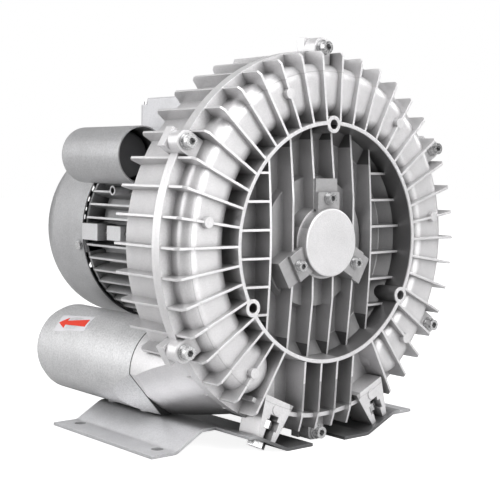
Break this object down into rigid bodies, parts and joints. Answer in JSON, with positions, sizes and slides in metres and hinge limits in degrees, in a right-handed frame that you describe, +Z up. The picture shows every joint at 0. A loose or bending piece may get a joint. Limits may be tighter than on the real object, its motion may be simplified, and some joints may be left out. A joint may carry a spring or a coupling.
{
  "type": "side channel blower",
  "caption": "Side channel blower with finned cast housing, bladed impeller on a motor shaft, two tubular silencers on bent sheet feet, and a capacitor can",
  "frame": {"origin": "on the floor, at the centre of the rectangle of foot bolt holes", "axes": "+Z up, +Y along the shaft from the finned cover to the motor's fan cover, +X to the inlet silencer's side"},
  "size_m": [0.311, 0.3295, 0.3315],
  "materials": {
    "cast_cover": "satin sand-cast aluminium, slightly grainy",
    "motor_casting": "die-cast aluminium, satin",
    "silencer_casting": "silver lacquer with a fine orange-peel grain",
    "foot_sheet": "silver-grey lacquer on bent steel sheet",
    "fan_cover_sheet": "silver-grey lacquer on deep-drawn sheet",
    "can_sheet": "silver-grey lacquer on drawn sheet",
    "box_paint": "silver-grey lacquer on a cast box",
    "zinc_screws": "zinc-plated steel",
    "bearing_steel": "ground steel",
    "laminations": "stacked electrical sheet, dull",
    "copper_wire": "varnished copper wire",
    "impeller_casting": "cast aluminium, machined rim",
    "black_plastic": "matt black plastic",
    "terminal_plastic": "brown moulded terminal strip",
    "capacitor_case": "dark moulded can",
    "rubber_seal": "black rubber",
    "sound_foam": "open grey foam"
  },
  "bodies": {
    "housing": {"front_cover": "cast_cover", "rear_casing": "cast_cover", "bearing_cap": "cast_cover", "flange_screw_1": "zinc_screws", "flange_screw_2": "zinc_screws", "flange_screw_3": "zinc_screws", "flange_screw_4": "zinc_screws", "flange_screw_5": "zinc_screws", "flange_screw_6": "zinc_screws", "cap_screw_1": "zinc_screws", "cap_screw_2": "zinc_screws", "cap_screw_3": "zinc_screws", "shaft_seal": "rubber_seal", "front_bearing_outer": "bearing_steel", "rear_bearing_outer": "bearing_steel", "wave_spring": "bearing_steel", "motor_frame": "motor_casting", "stator_core": "laminations", "windings": "copper_wire", "end_shield": "motor_casting", "tie_bolt_1": "zinc_screws", "tie_bolt_2": "zinc_screws", "tie_bolt_3": "zinc_screws", "fan_cover": "fan_cover_sheet", "fan_cover_screws": "zinc_screws", "terminal_base": "box_paint", "terminal_lid": "box_paint", "lid_screws": "zinc_screws", "terminal_block": "terminal_plastic", "cable_gland": "black_plastic", "capacitor_can": "can_sheet", "capacitor": "capacitor_case", "outlet_silencer": "silencer_casting", "outlet_gasket": "rubber_seal", "outlet_core_tube": "bearing_steel", "outlet_foam": "sound_foam", "outlet_foot": "foot_sheet", "outlet_foot_bolt": "zinc_screws", "outlet_foot_nut": "zinc_screws", "outlet_foot_screws": "zinc_screws", "inlet_silencer": "silencer_casting", "inlet_gasket": "rubber_seal", "inlet_core_tube": "bearing_steel", "inlet_foam": "sound_foam", "inlet_foot": "foot_sheet", "inlet_foot_bolt": "zinc_screws", "inlet_foot_nut": "zinc_screws", "inlet_foot_screws": "zinc_screws"},
    "rotor": {"shaft": "bearing_steel", "impeller": "impeller_casting", "impeller_key": "bearing_steel", "impeller_clip": "bearing_steel", "rotor_core": "laminations", "motor_fan": "black_plastic", "fan_clip": "bearing_steel", "front_bearing_inner": "bearing_steel", "rear_bearing_inner": "bearing_steel"},
    "front_balls": {"front_bearing_balls": "bearing_steel"},
    "rear_balls": {"rear_bearing_balls": "bearing_steel"}
  },
  "joints": [
    {"name": "rotor_spin", "type": "hinge", "parent": "housing", "child": "rotor", "pos_m": [0, 0, 0.165], "axis": [0, 1, 0], "continuous": true},
    {"name": "front_cage_spin", "type": "hinge", "parent": "housing", "child": "front_balls", "pos_m": [0, -0.099, 0.165], "axis": [0, 1, 0], "continuous": true},
    {"name": "rear_cage_spin", "type": "hinge", "parent": "housing", "child": "rear_balls", "pos_m": [0, 0.117, 0.165], "axis": [0, 1, 0], "continuous": true}
  ],
  "couplings": [
    {"joint": "front_cage_spin", "follows": "rotor_spin", "ratio": 0.3815},
    {"joint": "rear_cage_spin", "follows": "rotor_spin", "ratio": 0.3815}
  ]
}
